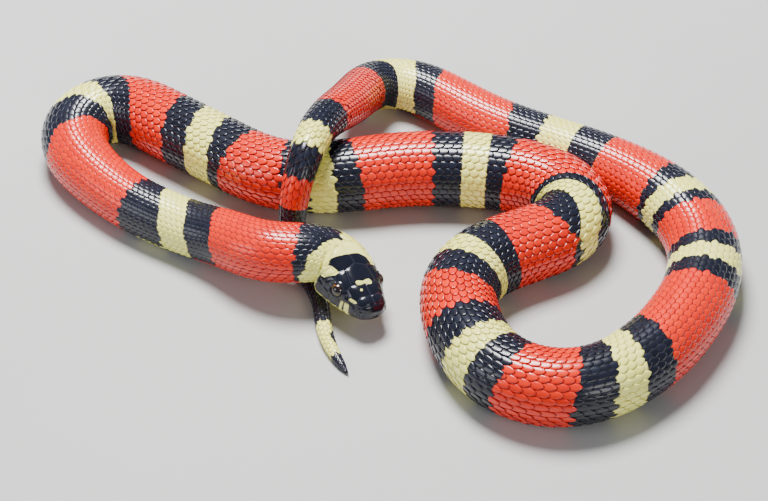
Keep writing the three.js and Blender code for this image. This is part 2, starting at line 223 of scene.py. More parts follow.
def profile(stations, place):
    """A value that runs smoothly through a list of place and value pairs."""
    x, y = np.array(stations, float).T
    last = len(x) - 1
    slopes = np.array([(y[min(k + 1, last)] - y[max(k - 1, 0)]) / (x[min(k + 1, last)] - x[max(k - 1, 0)])
                       for k in range(last + 1)])
    i = np.clip(np.searchsorted(x, place, side="left") - 1, 0, last - 1)
    span = x[i + 1] - x[i]
    f = np.clip((place - x[i]) / span, 0, 1)
    start = (2 * f**3 - 3 * f**2 + 1) * y[i] + (f**3 - 2 * f**2 + f) * span * slopes[i]
    return start + (3 * f**2 - 2 * f**3) * y[i + 1] + (f**3 - f**2) * span * slopes[i + 1]


print("the head is", round(float(2 * profile(half_widths, np.array([21.0]))[0]), 1), "mm wide at the jaw")

# %% Section and surface


def power(value, exponent):
    return np.sign(value) * np.abs(value) ** exponent


def section(q, a, half, tall):
    """How far across and how far up the outside lies, at an angle from the middle of the back."""
    c, s = np.cos(a), np.sin(a)
    across = half * s
    up = half * tall * np.where(c >= 0, crown_height * c, -belly_depth * np.minimum(1, -c * belly_flatness))
    near = np.minimum(q, head_end)
    blunt = (1 - (1 - np.minimum(near, nose_round) / nose_round) ** 2) ** nose_fullness
    nose = np.where(near < nose_round, blunt, 1)
    mouth = profile(mouth_heights, near)
    width = profile(half_widths, near) * nose
    top = (profile(top_heights, near) - mouth) * nose
    chin = (profile(chin_depths, near) + mouth) * nose
    upper = c >= 0
    square = 2 / np.where(upper, profile(crown_squareness, near), profile(jaw_squareness, near))
    lip = np.where(upper, 0, lip_step * (1 - ease(near, *mouth_corner)) * nose * ease(-c, 0, lip_rise))
    bend = np.abs(a) - brow_angle
    brow = brow_rise * np.exp(-(((near - brow_from_snout) / brow_run) ** 2) - (bend / brow_spread) ** 2)
    head_across = (width - lip) * power(s, square) + brow * s
    head_up = mouth + np.where(upper, top, chin) * power(c, square) + brow_lift * brow * c
    share = ease(q, body_share_start, head_end)
    return head_across * (1 - share) + across * share, head_up * (1 - share) + up * share


tip_length = 4.5


def surface(q, a):
    """Points of the snake's outside, from the distance to the snout and the angle round the body."""
    f = look(q)
    across, up = section(q, a, f[..., HALF], f[..., TALL])
    pressed = np.where(across * f[..., BEND] > 0, across * f[..., ROOM], across)
    slim = np.sqrt(np.clip((whole - q) / tip_length, 0.02, 1))
    sideways = f[..., LEFT] * (pressed * slim)[..., None]
    return f[..., MIDDLE] + sideways + f[..., BACK] * (up * slim)[..., None]


def outward(q, a):
    """Unit normals of the outside."""
    q = np.clip(q, 0.02, whole - 1)
    ahead = surface(q + 0.3, a) - surface(np.maximum(q - 0.3, 0.01), a)
    round_it = surface(q, a + 0.04) - surface(q, a - 0.04)
    normal = unit(np.cross(round_it, ahead))
    radial = unit(surface(q, a) - look(q)[..., MIDDLE])
    normal = normal * np.sign((normal * radial).sum(-1, keepdims=True))
    pinch = 1 - ease(look(q)[..., ROOM : ROOM + 1], 0.7, 0.98)
    return unit(normal * (1 - pinch) + radial * pinch)


mid_body = 400.0
top = surface(np.array([mid_body]), np.array([0.0]))[0]
print("the back is", round(float(top[2]), 1), "mm over the floor near the middle of the body")

# %% [markdown]
# ## The bands
# The pattern of this snake is sixteen rings of red, black, cream and black, the last one without its red.
# Each ring is told by the widths of its four bands in whole millimetres, then by how far its red and its
# cream lean backwards on the left side, because the rings of a real snake aren't quite square to its
# length. The front of the animal is told apart: a black cap, a pale collar and a black nape. Their edges
# are outlines on a flat chart of the head, whose two measures are the distance from the snout and the
# distance over the skin from the middle of the crown, left being positive. The pattern could be painted
# on an image and wrapped round the body. As distances it needs no image, and skin and scales can share it.

# %% The sixteen rings
first_red = 19
rings = [
    [32, 12, 11, 11, -1, 3], [40, 12, 8, 10, 0, 3], [20, 10, 10, 10, 5, 2], [16, 7, 8, 8, -1, 1],
    [27, 10, 9, 8, 1, 0], [23, 5, 7, 11, -1, -5], [18, 9, 7, 9, 2, 0], [14, 10, 8, 9, -2, 0],
    [19, 10, 9, 10, -1, -2], [29, 7, 7, 6, -2, 1], [15, 5, 7, 7, 1, -1], [23, 12, 12, 13, 1, 0],
    [31, 10, 12, 12, 2, 3], [39, 13, 8, 9, -1, 0], [9, 11, 10, 30, 0, 0], [0, 0, 14, 9, 0, 0],
]
lean_angle, lean_limit = math.radians(40), 1.9
widths = np.array([ring[:4] for ring in rings]).ravel()
band_edges = head_straight + first_red + np.r_[0, np.cumsum(widths)[:-1]]
band_leans = np.array([[red, cream, cream, cream] for *_, red, cream in rings]).ravel()
tail_blotch = {"along": 820, "angle": -1.1, "long": 3.2, "wide": 0.6}
print(len(rings), "rings with", len(band_edges), "band edges")

# %% The marks of the head
cap_rear = [[-30, 17.5], [-18.8, 18.2], [-16.5, 21], [-14.5, 21.5], [-10.7, 20.2], [-7, 22.4],
            [-2.7, 20.6], [0, 20], [3.1, 19.4], [5.4, 18], [6.1, 16.4], [8, 19], [11, 20.2],
            [13.5, 18.6], [16, 18.6], [18.7, 17.8], [30, 17.5]]
collar_rear = [[-30, 34], [-22, 34.2], [-14, 34.4], [-11.6, 33.8], [-8.6, 32.4], [-6.2, 30],
               [-1.8, 26], [1.2, 24.4], [3, 24.5], [6, 25.5], [10, 27.5], [15, 30], [22, 32], [30, 32]]
temple_right = [[15.7, -6.1], [19.2, -7.3], [21.8, -8.8], [23.5, -11.5], [20.6, -12.3], [17.9, -11.3],
                [16.7, -9.4], [15.7, -7.6]]
temple_left = [[15.7, 6.1], [19.2, 7.3], [21.8, 8.8], [23.5, 11.5], [20.6, 12.3], [17.9, 11.3],
               [16.7, 9.4], [15.7, 7.6]]
bow_mark = [[10.8, -2.2], [10.5, -3], [9.5, -2.8], [9.1, -1.6], [9.3, -0.3], [8.8, 0.6], [8.5, 1.9],
            [9.4, 2.7], [10.4, 1.9], [10.4, 0.7], [10.1, -0.4], [10.4, -1.2]]
cheek_mark = [[7.1, -7.6], [6.8, -6.6], [5.2, -5.6], [4.5, -5.6], [5, -6.5], [6.2, -7.4]]
snout_mark = [[7.85, -2.3], [7.55, -1.9], [7.1, -1.95], [6.95, -2.4], [7.2, -2.75], [7.65, -2.7]]
pale_patches = (temple_right, temple_left, bow_mark, cheek_mark, snout_mark)
# Pale bars on the lips: distance from the snout, half width, slant, reach above the mouth and below it
lip_bars = [[8.3, 0.45, 0.12, 3.4, 1.5], [6.6, 0.75, 0.3, 3.5, 1.2]]
throat_below_mouth, throat_from, throat_to, collar_part_ends = 0.42, 7.4, 36, 40
print(len(pale_patches), "pale patches and", len(lip_bars), "pale bars on each lip")

# %% Read the markings at any place


def along(stations, t):
    x, y = np.array(stations, float).T
    return np.interp(t, x, y)


def inside(polygon, q, t):
    """Signed distance to a closed outline, positive inside."""
    points = np.array(polygon, float)
    least = np.full(np.shape(q), 1e9)
    odd = np.zeros(np.shape(q), bool)
    for (q0, t0), (q1, t1) in zip(points, np.roll(points, -1, axis=0)):
        dq, dt = q1 - q0, t1 - t0
        f = np.clip(((q - q0) * dq + (t - t0) * dt) / (dq * dq + dt * dt), 0, 1)
        least = np.minimum(least, np.hypot(q - q0 - f * dq, t - t0 - f * dt))
        crosses = ((t0 > t) != (t1 > t)) & (q < (t - t0) / (dt if dt else 1e-9) * dq + q0)
        odd ^= crosses
    return np.where(odd, least, -least)


def markings(q, a, t, lip):
    """How far inside red and inside cream each point is, in millimetres. Black is outside both."""
    share = np.clip(a / lean_angle, -lean_limit, lean_limit)
    edges = np.sort(band_edges[:, None] + band_leans[:, None] * share, axis=0)
    count = (edges <= q).sum(0)
    before = np.take_along_axis(edges, np.clip(count - 1, 0, len(edges) - 1)[None], 0)[0]
    after = np.take_along_axis(edges, np.clip(count, 0, len(edges) - 1)[None], 0)[0]
    depth = np.minimum(q - before, after - q)
    depth = np.where(count == 0, after - q, np.where(count == len(edges), q - before, depth))
    kind = count % 4
    red = np.where(kind == 1, depth, -depth)
    cream = np.where(kind == 3, depth, -depth)
    behind = (q - head_straight - tail_blotch["along"]) / tail_blotch["long"]
    blotch = 1 - np.hypot(behind, (a - tail_blotch["angle"]) / tail_blotch["wide"])
    cream = np.minimum(cream, -2 * blotch)
    collar = np.minimum(q - along(cap_rear, t), along(collar_rear, t) - q)
    for patch in pale_patches:
        collar = np.maximum(collar, inside(patch, q, t))
    below = np.abs(t) - lip
    for place, half_wide, slant, high, low in lip_bars:
        beside = half_wide - np.abs(q - place + slant * (3 + below))
        collar = np.maximum(collar, np.minimum(beside, np.minimum(below + high, low - below)))
    throat = np.minimum(np.minimum(below - throat_below_mouth, q - throat_from), throat_to - q)
    collar = np.maximum(collar, throat)
    return red, np.where(q < collar_part_ends, collar, cream)


print("the first red band begins", round(float(band_edges[0]), 1), "mm behind the snout")

# %% [markdown]
# ## The rings of the skin
# The skin is one mesh, so that no seam shows. It is dense on the head, where plates and lips are shaped,
# and coarser on the body, where the scales hide it. The columns are spread by length over the skin, on
# the head closer towards the lips, which also gives each point its distance from the middle of the back.

# %% Spread the columns over each ring
head_columns, body_columns = (72, 36), (24, 12)
crowding = (1.15, 1.5)
half_turn_steps = 180
quarter_turn = half_turn_steps // 2


def spread(q, columns, crowded):
    """Angles of one side's columns at each ring, closer at the lip, and their distance from the top."""
    coarse = np.linspace(0, math.pi, half_turn_steps + 1)
    qq, aa = np.broadcast_arrays(np.asarray(q)[:, None], coarse)
    f = look(qq)
    across, up = section(qq, aa, f[..., HALF], f[..., TALL])
    length = np.hypot(np.diff(across, axis=1), np.diff(up, axis=1)).cumsum(1)
    length = np.column_stack([np.zeros(len(q)), length])
    angles, distances = [], []
    for row in length:
        lip = row[quarter_turn]
        above = 1 - np.linspace(1, 0, columns[0] + 1) ** crowded[0]
        under = np.linspace(0, 1, columns[1] + 1)[1:] ** crowded[1]
        wanted = np.r_[lip * above, lip + (row[-1] - lip) * under]
        angles.append(np.interp(wanted, row, coarse))
        distances.append(wanted)
    return np.array(angles), np.array(distances), length


nose_ring_count, head_ring_step, body_ring_step = 24, 0.2, 1.2
nose_rings = nose_round * (1 - np.cos(np.linspace(0, math.pi / 2, nose_ring_count + 1)[1:]))
head_rings = np.r_[nose_rings, np.arange(2.8, head_end + 0.01, head_ring_step)]
body_rings = np.arange(head_end + 1, whole - 0.4, body_ring_step)
head_angles, head_across, head_lengths = spread(head_rings, head_columns, crowding)
body_angles, body_across, body_lengths = spread(body_rings, body_columns, (1, 1))
length_rings = np.r_[head_rings, body_rings]
length_table = np.vstack([head_lengths, body_lengths])
print(len(head_rings), "rings on the head and", len(body_rings), "on the body")

# %% Distance from the middle of the back


def from_top(q, a):
    """Distance over the skin from the middle of the back, signed, and that of the lip."""
    i = np.clip(np.searchsorted(length_rings, q), 0, len(length_rings) - 1)
    j = np.clip(np.abs(a) / math.pi * half_turn_steps, 0, half_turn_steps - 0.001)
    k = j.astype(int)
    row = length_table[i, k] * (1 - (j - k)) + length_table[i, k + 1] * (j - k)
    return np.sign(a) * row, length_table[i, quarter_turn]


girth = 2 * body_lengths[len(body_rings) // 2, -1]
print("the skin measures", round(float(girth), 1), "mm round the middle of the body")

# %% [markdown]
# ## The plates of the head
# A milk snake has nine large plates on its crown and a row of plates along each lip. On the animal each
# plate is a thin horny cushion and the seams between them are fine grooves. Separate plates would leave
# slits at their edges, so here the seams are shaped in the skin itself. They are short lines on the chart
# of the head, drawn once for one side and mirrored: distance from the snout, distance from the middle.

# %% Seams of the crown
seams = [
    [[1.7, 0], [8.9, 0]], [[17, 0], [23.6, 0]],
    [[1.7, 0], [1.9, 2.6], [2.4, 4.9], [1.6, 6.6]],
    [[4.9, 0], [5.1, 3], [4.9, 5.4], [5.6, 7.3]],
    [[8.9, 0], [9.4, 2.6], [9.8, 4.5], [9.5, 6.4]],
    [[9.8, 4.5], [12.6, 4.25], [15.6, 3.9], [17, 0]],
    [[15.6, 3.9], [16.4, 7.4]],
    [[9.5, 6.4], [10.3, 8], [12, 8.5], [14, 8.4], [16.4, 7.4]],
    [[16.4, 7.4], [19, 7.9], [21.8, 7.5], [23.2, 4.5], [23.6, 0]],
    [[2.4, 4.9], [3.6, 6], [5.6, 7.3], [7.4, 7.4], [9.5, 6.4]],
    [[6.3, 7.4], [6.7, 9.9]], [[8.5, 7], [8.6, 10.4]],
    [[14, 8.4], [15.3, 10.2], [15.2, 13]], [[15.3, 10.2], [13.9, 11]],
    [[16.4, 7.4], [16.9, 10.6], [16.6, 13.4]], [[16.9, 10.6], [20, 11.2]], [[20, 11.2], [20.4, 14.2]],
    [[19, 7.9], [20, 11.2]],
]
print(len(seams), "seams on each side of the crown")

# %% Seams of the lips
# Distance from the snout, height over the line of the mouth
lip_seams = [
    [[1.1, 2.6], [2.9, 2.3], [4.6, 2.7], [6.7, 3.3], [8.6, 3.3], [10.3, 3.3], [12, 3.2], [14, 3.5],
     [16.4, 3.9], [18.8, 4.1], [20.4, 3.6]],
    [[1.1, 2.6], [1.3, 0]], [[3.1, 2.3], [3.2, 0]], [[5.6, 3], [5.5, 0]], [[8, 3.3], [7.7, 0]],
    [[10.4, 3.3], [10.2, 0]], [[13.6, 3.4], [13.2, 0]], [[16.5, 3.9], [16.2, 0]],
    [[0.9, -1.7], [2.6, -2.2], [5, -2.5], [8, -2.8], [11, -3], [14, -3.2], [17.4, -3]],
    [[1.2, -0.1], [1.1, -1.8]], [[3, -0.1], [2.8, -2.2]], [[5, -0.1], [4.8, -2.5]],
    [[7.2, -0.1], [7, -2.7]], [[9.8, -0.1], [9.5, -2.9]], [[12.6, -0.1], [12.3, -3.1]],
    [[15.4, -0.1], [15.1, -3.1]],
]
for line in lip_seams:
    lips = [float(np.interp(q, head_rings, head_lengths[:, quarter_turn])) for q, _ in line]
    seams.append([[q, lip - height] for (q, height), lip in zip(line, lips)])
plate_rear = [[0, 23.7], [3, 23.5], [6.5, 22.2], [8, 20.6], [12, 20], [16, 19.8], [19, 19], [20.5, 15],
              [24, 13.4], [30, 13]]


def seam_distance(q, t):
    """How far the nearest seam is, on the chart of the head."""
    t = np.abs(t)
    least = np.full(q.shape, 9.0)
    for line in seams:
        for (q0, t0), (q1, t1) in zip(line, line[1:]):
            dq, dt = q1 - q0, t1 - t0
            f = np.clip(((q - q0) * dq + (t - t0) * dt) / (dq * dq + dt * dt), 0, 1)
            least = np.minimum(least, np.hypot(q - q0 - f * dq, t - t0 - f * dt))
    return least


print(len(lip_seams), "seams on each lip and", len(seams), "in all on each side")

# %% Places of the eyes
eye_radius, eye_from_snout, eye_side, eye_height = 2.3, 12.1, 7.1, 0.1


def head_place(q, across, up):
    f = look(np.array([q]))[0]
    return f[MIDDLE] + f[LEFT] * across + f[BACK] * up


eye_places = {side: head_place(eye_from_snout, sign * eye_side, eye_height)
              for side, sign in (("left", 1), ("right", -1))}
print("the left eye is", round(float(eye_places["left"][2]), 1), "mm over the floor")

# %% Relief of the head
# Each line of relief is a bump: its height, the distance at which it lies, and its half width
cushion_height, cushion_run = 0.16, 1.1
seam_bump = [-0.2, 0, 0.2]
mouth_bump, lip_bump, mouth_ends = [-0.6, 0.12, 0.17], [0.14, -0.6, 0.42], (18.5, 21.5)
eye_rim, eye_gap = [0.26, 2.72, 0.26], [-0.3, 2.36, 0.16]
nostril = {"from_snout": 4.6, "from_crown": 7.5, "long": 0.75, "wide": 0.5, "deep": 0.75}


def bump(distance, height, place, half_width):
    return height * np.exp(-(((distance - place) / half_width) ** 2))


def relief(q, t, lip, points):
    """Height of the head's own surface over the plain section: seams, lips, eye rims and nostrils."""
    plates = 1 - ease(q, along(plate_rear, np.abs(t)) - 0.2, along(plate_rear, np.abs(t)) + 0.8)
    d = seam_distance(q, t)
    cushion = cushion_height * (1 - np.exp(-((d / cushion_run) ** 2)))
    height = plates * (cushion + bump(d, *seam_bump))
    below = np.abs(t) - lip
    height += (1 - ease(q, *mouth_ends)) * (bump(below, *mouth_bump) + bump(below, *lip_bump))
    for place in eye_places.values():
        gap = np.linalg.norm(points - place, axis=-1)
        height += bump(gap, *eye_rim) + bump(gap, *eye_gap)
    ahead = (q - nostril["from_snout"]) / nostril["long"]
    aside = (np.abs(t) - nostril["from_crown"]) / nostril["wide"]
    return height - nostril["deep"] * np.exp(-((ahead**2 + aside**2) ** 2))


plate_depth, coat_depth = 0.1, 0.28


def skin_depth(q, t):
    """How far the skin lies under the part's outside: hardly on the plates, by the scales' depth behind."""
    rear = along(plate_rear, np.abs(t))
    return plate_depth + coat_depth * ease(q, rear - 0.4, rear + 0.6)


print("the skin lies", plate_depth, "mm deep on the plates and", plate_depth + coat_depth, "mm behind")

# %% [markdown]
# ## One skin from snout to tail tip
# On the animal the skin is one sleeve, and the scales are folds of it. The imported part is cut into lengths
# with fine gaps between them, so its own pieces would show those gaps, and one skin takes their place.
# Rings are joined to their neighbours with quads. Where the dense head meets the coarse body each body
# quad takes three head edges. The UV map called OFBake is an unwrap of the skin's own shape: the
# head in a wide field at the top, and the body in five strips under it.

# %% Points of the skin


def rings_of(q, angles, across):
    """Full rings of points, with their angle and distance from the top, left side first."""
    full = np.column_stack([angles, -angles[:, -2:0:-1]])
    t = np.column_stack([across, -across[:, -2:0:-1]])
    qq = np.broadcast_to(q[:, None], full.shape)
    return qq, full, t


def skin_points(q, a, t, dense):
    """The skin's points, with how far each lies inside red and inside cream."""
    lip = from_top(q, a)[1]
    points = surface(q, a)
    normals = outward(q, a)
    height = relief(q, t, lip, points) if dense else 0
    points = points + normals * (height - skin_depth(q, t))[..., None]
    red, cream = markings(q.ravel(), a.ravel(), t.ravel(), lip.ravel())
    return points.reshape(-1, 3), red, cream


head_grid = rings_of(head_rings, head_angles, head_across)
body_grid = rings_of(body_rings, body_angles, body_across)
head_part = skin_points(*head_grid, True)
body_part = skin_points(*body_grid, False)
forwards = unit(table[0, MIDDLE] - table[4, MIDDLE])
snout_tip = surface(np.array([0.004]), np.array([0.0]))[0] - plate_depth * forwards
tail_tip = look(np.array([whole]))[0, MIDDLE]
skin_verts = np.vstack([head_part[0], body_part[0], [snout_tip], [tail_tip]]) / 1000
skin_red = np.r_[head_part[1], body_part[1], -9, -9]
skin_cream = np.r_[head_part[2], body_part[2], -9, -9]
skin_q = np.r_[head_grid[0].ravel(), body_grid[0].ravel(), 0, whole]
skin_t = np.r_[head_grid[2].ravel(), body_grid[2].ravel(), 0, 0]
print(len(skin_verts), "skin points")

# %% Faces of the head, and their places on the unwrap
wide, narrow = head_grid[0].shape[1], body_grid[0].shape[1]
edges_per_quad = wide // narrow
margin, run = 0.01, 0.98
field_low, field_high = 0.55, 0.44
faces, face_uvs = [], []


def strip_uv(u0, u1, v0, v1):
    return [(u0, v0), (u0, v1), (u1, v1), (u1, v0)]


def field_v(k):
    return field_low + field_high * k / wide


count_head = len(head_rings)
for r in range(count_head - 1):
    u0, u1 = [margin + run * head_rings[i] / head_end for i in (r, r + 1)]
    for k in range(wide):
        a, b = r * wide + k, r * wide + (k + 1) % wide
        faces.append([a, b, b + wide, a + wide])
        face_uvs.append(strip_uv(u0, u1, field_v(k), field_v(k + 1)))
first_body = count_head * wide
for k in range(narrow):
    rim = [first_body - wide + (edges_per_quad * k + j) % wide for j in range(edges_per_quad + 1)]
    low, high = first_body + k, first_body + (k + 1) % narrow
    faces.append([*rim, high, low])
    v = [field_v(edges_per_quad * k + j) for j in range(edges_per_quad + 1)]
    face_uvs.append([(0.985, place) for place in v] + [(0.995, v[-1]), (0.995, v[0])])
tip, end = len(skin_verts) - 2, len(skin_verts) - 1
for k in range(wide):
    faces.append([tip, (k + 1) % wide, k])
    face_uvs.append([(0.006, field_v(k)), (0.01, field_v(k + 1)), (0.01, field_v(k))])
print(len(faces), "faces on the head")

# %% Faces of the body
strips, strip_pitch, strip_height = 5, 0.106, 0.1
per_strip = math.ceil(len(body_rings) / strips)
for r in range(len(body_rings) - 1):
    row = r // per_strip
    u0, u1 = [margin + run * (r + i - row * per_strip) / per_strip for i in (0, 1)]
    v0, v1 = [margin + row * strip_pitch + strip_height * i / narrow for i in (0, 1)]
    for k in range(narrow):
        a, b = first_body + r * narrow + k, first_body + r * narrow + (k + 1) % narrow
        faces.append([a, b, b + narrow, a + narrow])
        rise = strip_height * k / narrow
        face_uvs.append(strip_uv(u0, u1, v0 + rise, v1 + rise))
last = first_body + (len(body_rings) - 1) * narrow
for k in range(narrow):
    faces.append([end, last + k, last + (k + 1) % narrow])
    v = margin + (strips - 1) * strip_pitch + strip_height * k / narrow
    face_uvs.append([(0.995, v), (0.99, v), (0.99, v + strip_height / narrow)])
print(len(faces), "faces in all")

# %% A helper that makes a mesh from points and faces


def make_mesh(name, verts, polygons, uvs, attributes, material):
    """A smooth mesh with its bake map, its stored masks and its material."""
    mesh = bpy.data.meshes.new(name)
    mesh.from_pydata([tuple(v) for v in verts], [], polygons)
    layer = mesh.uv_layers.new(name="OFBake")
    layer.data.foreach_set("uv", np.array([c for uv in uvs for c in uv], float).ravel())
    for key, values in attributes.items():
        data = mesh.attributes.new(key, "FLOAT", "POINT")
        data.data.foreach_set("value", np.asarray(values, np.float32))
    mesh.polygons.foreach_set("use_smooth", np.ones(len(mesh.polygons), bool))
    piece = bpy.data.objects.new(name, mesh)
    bpy.context.scene.collection.objects.link(piece)
    mesh.materials.append(material)
    mesh.update()
    return piece


print("make_mesh is ready")

# %% [markdown]
# ## Colours
# All three colours share one horny, glossy finish. The red is an orange red, the black is a near black
# tinted blue as a painted blue sheen, and the cream is a pale yellow. At the root and the edges of each
# scale, and along the seams of the head, each colour turns to an edge tone: painted shade on the red and the
# cream, partly the dark skin between the scales, and a paler painted glint on the black. Three materials
# could share out the faces, but then every band would end in steps along the faces' edges. Here one
# shader reads masks stored with the mesh, which run smoothly from point to point, and adds only a fine
# unevenness. Nothing in it depends on the camera.

# %% Small helpers for shader nodes


def colour(r, g, b):
    return (r, g, b, 1)


def node(tree, kind, **settings):
    """A new node. A setting called in_1 fills its socket number 1."""
    made = tree.nodes.new(kind)
    for key, value in settings.items():
        if key.startswith("in_"):
            made.inputs[int(key[3:])].default_value = value
        else:
            setattr(made, key, value)
    return made


def mix(tree, factor, first, second):
    """Blend two colours. Each of the three may be a value or the output of a node."""
    made = node(tree, "ShaderNodeMix", data_type="RGBA")
    for socket, value in ((0, factor), (6, first), (7, second)):
        if hasattr(value, "links"):
            tree.links.new(value, made.inputs[socket])
        else:
            made.inputs[socket].default_value = value
    return made.outputs[2]


def read(tree, name):
    """A mask that is stored with the mesh."""
    return node(tree, "ShaderNodeAttribute", attribute_name=name).outputs["Fac"]


def between(tree, value, low, high):
    made = node(tree, "ShaderNodeMapRange", in_1=low, in_2=high)
    tree.links.new(value, made.inputs[0])
    return made.outputs[0]


def noise(tree, place, scale, detail=3.0):
    made = node(tree, "ShaderNodeTexNoise")
    made.inputs["Scale"].default_value = scale
    made.inputs["Detail"].default_value = detail
    tree.links.new(place, made.inputs["Vector"])
    return made.outputs["Fac"]


print("helpers for colour, mask and noise")

# %% Materials


def new_material(name, roughness, coat, coat_roughness):
    material = bpy.data.materials.new(name)
    material.use_nodes = True
    tree = material.node_tree
    shader = tree.nodes["Principled BSDF"]
    shader.inputs["Roughness"].default_value = roughness
    shader.inputs["Specular IOR Level"].default_value = 0.36
    shader.inputs["Coat Weight"].default_value = coat
    shader.inputs["Coat Roughness"].default_value = coat_roughness
    place = node(tree, "ShaderNodeTexCoord").outputs["Object"]
    return material, tree, shader, place


def banded(name, reds, blacks, creams, roughness, coat):
    """Red, black or cream by the masks, with two tones, a tint and a painted edge tone for each."""
    material, tree, shader, place = new_material(name, roughness, coat, coat_roughness=0.07)
    uneven = between(tree, noise(tree, place, 260), 0.3, 0.7)
    # Painted shade and glint: the shade mask turns each colour to its edge tone at scale edges, roots and
    # seams
    edge = between(tree, read(tree, "shade"), 0.55, 0.95)
    tint = read(tree, "tint")
    tones = []
    for low, high, tinted, rim in (reds, blacks, creams):
        plain = mix(tree, tint, mix(tree, uneven, low, high), tinted)
        tones.append(mix(tree, edge, plain, rim))
    red_tone, black_tone, cream_tone = tones
    red = between(tree, read(tree, "red"), 0.42, 0.58)
    cream = between(tree, read(tree, "cream"), 0.42, 0.58)
    base = mix(tree, cream, mix(tree, red, black_tone, red_tone), cream_tone)
    tree.links.new(base, shader.inputs["Base Color"])
    return material


# Each colour below is two tones, a tint and an edge tone. The edge tones are painted shade on the red and
# the cream, partly the dark skin between the scales, and a paler painted glint on the black.
scale_material = banded(
    "scales",
    (colour(0.82, 0.014, 0.001), colour(0.9, 0.03, 0.001), colour(0.68, 0.008, 0.001),
     colour(0.14, 0.006, 0.02)),
    # The blacks are tinted blue, a painted blue sheen on a near black
    (colour(0.005, 0.006, 0.013), colour(0.009, 0.01, 0.02), colour(0.014, 0.016, 0.032),
     colour(0.028, 0.028, 0.045)),
    (colour(0.96, 0.94, 0.23), colour(0.97, 0.96, 0.31), colour(0.94, 0.9, 0.16), colour(0.75, 0.68, 0.13)),
    roughness=0.24, coat=0.28)
skin_material = banded(
    "skin",
    (colour(0.13, 0.008, 0.016), colour(0.18, 0.012, 0.02), colour(0.1, 0.02, 0.02),
     colour(0.1, 0.01, 0.012)),
    # The blacks are tinted blue, a painted blue sheen on a near black
    (colour(0.005, 0.006, 0.013), colour(0.008, 0.009, 0.018), colour(0.014, 0.015, 0.022),
     colour(0.024, 0.026, 0.045)),
    (colour(0.96, 0.94, 0.25), colour(0.97, 0.96, 0.32), colour(0.8, 0.7, 0.24), colour(0.78, 0.71, 0.16)),
    roughness=0.16, coat=0.35)
print("two banded materials")

# %% Put the skin together
seam_shade_run, seams_end = 0.22, 30
# Painted seam lines: the seams of the head take the skin's edge tone, painted shade in the grooves on red
# and cream and a paler painted glint on the black plates
seam_shade = np.zeros(len(skin_verts))
on_head = skin_q < seams_end
seam_shade[on_head] = np.exp(-((seam_distance(skin_q[on_head], skin_t[on_head]) / seam_shade_run) ** 2))
skin = make_mesh("snake_skin", skin_verts, faces, face_uvs, {
    "red": np.clip(0.5 + skin_red / 2, 0, 1), "cream": np.clip(0.5 + skin_cream, 0, 1),
    "shade": seam_shade, "tint": np.zeros(len(skin_verts)),
}, skin_material)
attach(skin, "root")
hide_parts(*[name for name in nodes if not name.startswith("eye")])
print("skin made")

# %% [markdown]
# ## One model scale
# Every scale on the back has the same outline: a narrow root under the scale in front, widest before the
# middle, and a rounded tip. It is a grid whose sides and rear edge are extruded downwards, so that it has
# the thickness of a real scale. The root stays open, because the scale in front covers it. Every other
# scale is a copy, fitted to the place where it lies. A bump in the material would be lighter, but it
# would leave the outline of the back smooth and would be no part of the mesh.

# %% Shape the model scale
root_end = -0.45


def model_scale(name, lengthways, crossways):
    """A flat grid from -1 to 1 both ways, with a rim that hangs down by 1 behind its root."""
    bpy.ops.object.select_all(action="DESELECT")
    bpy.ops.mesh.primitive_grid_add(x_subdivisions=lengthways, y_subdivisions=crossways, size=2)
    grid = bpy.context.active_object
    mesh = grid.data
    bpy.ops.object.mode_set(mode="EDIT")
    bpy.ops.mesh.select_mode(type="EDGE")
    bpy.ops.mesh.select_all(action="DESELECT")
    bpy.ops.object.mode_set(mode="OBJECT")
    for edge in mesh.edges:
        ends = [mesh.vertices[i].co for i in edge.vertices]
        at_side = all(abs(abs(end.y) - 1) < 1e-4 for end in ends)
        at_rear = all(abs(end.x - 1) < 1e-4 for end in ends)
        edge.select = (at_side or at_rear) and min(end.x for end in ends) > root_end
    bpy.ops.object.mode_set(mode="EDIT")
    bpy.ops.mesh.extrude_edges_move(TRANSFORM_OT_translate={"value": (0, 0, -1)})
    bpy.ops.object.mode_set(mode="OBJECT")
    verts = np.array([v.co for v in mesh.vertices])
    polygons = [list(face.vertices) for face in mesh.polygons]
    bpy.data.objects.remove(grid)
    print(name, len(verts), "points,", len(polygons), "faces")
    return verts, polygons


widest_at, root_width, tip_width = 0.42, 0.62, 0.1


def outline(u):
    """Half width of a scale from its root at 0 to its tip at 1, its widest place being 1."""
    front = root_width + (1 - root_width) * np.sin(math.pi / 2 * np.clip(u / widest_at, 0, 1))
    rear = (1 - np.clip((u - widest_at) / (1 - widest_at), 0, 1) ** 1.65) ** 0.74
    return np.maximum(front * rear, tip_width)


scale_verts, scale_faces = model_scale("model scale", 6, 4)
scute_verts, scute_faces = model_scale("model belly plate", 3, 12)

# %% [markdown]
# ## The coat
# Snakes carry their scales in slanting rows: each scale sits half a step behind its neighbours to the
# side. There are twenty three rows on the body and ever fewer on the tail. Under the belly one broad
# plate answers to each step. Scattered copies would turn and sink at random, so each one is given its own
# place and angle and is bent to the surface there. A scale takes its colour partly from the place where
# it grows and partly from where each point of it lies, which makes the fine saw edges of the bands.

# %% Rows of scales
# Distance from the snout, number of rows from there on
row_counts = [[0, 23], [706, 19], [736, 15], [758, 11], [780, 9], [812, 7]]
ring_rows, first_row = 33, 13.5
dorsal_edge = math.radians(126)
slenderness, least_length, scale_breadth = 1.22, 0.9, 0.68


def rows_at(q):
    return [rows for start, rows in row_counts if q >= start][-1]


widest = float(look(np.array([mid_body]))[0, HALF])
print("a scale is about", round(slenderness * 2 * dorsal_edge / rows_at(mid_body) * widest, 1), "mm long")

# %% Lay copies of the model on the skin
overlap, plate_bow = 1.34, 0.1
root_depth, slope, side_curl, tip_curl = 0.36, 0.34, 0.15, 0.09
rim_fold, rim_tuck = 0.16, 0.05
full_length, least_size = 2.9, 0.45
neck_flatness, neck_run = 0.5, (31, 46)
grown = 0.45


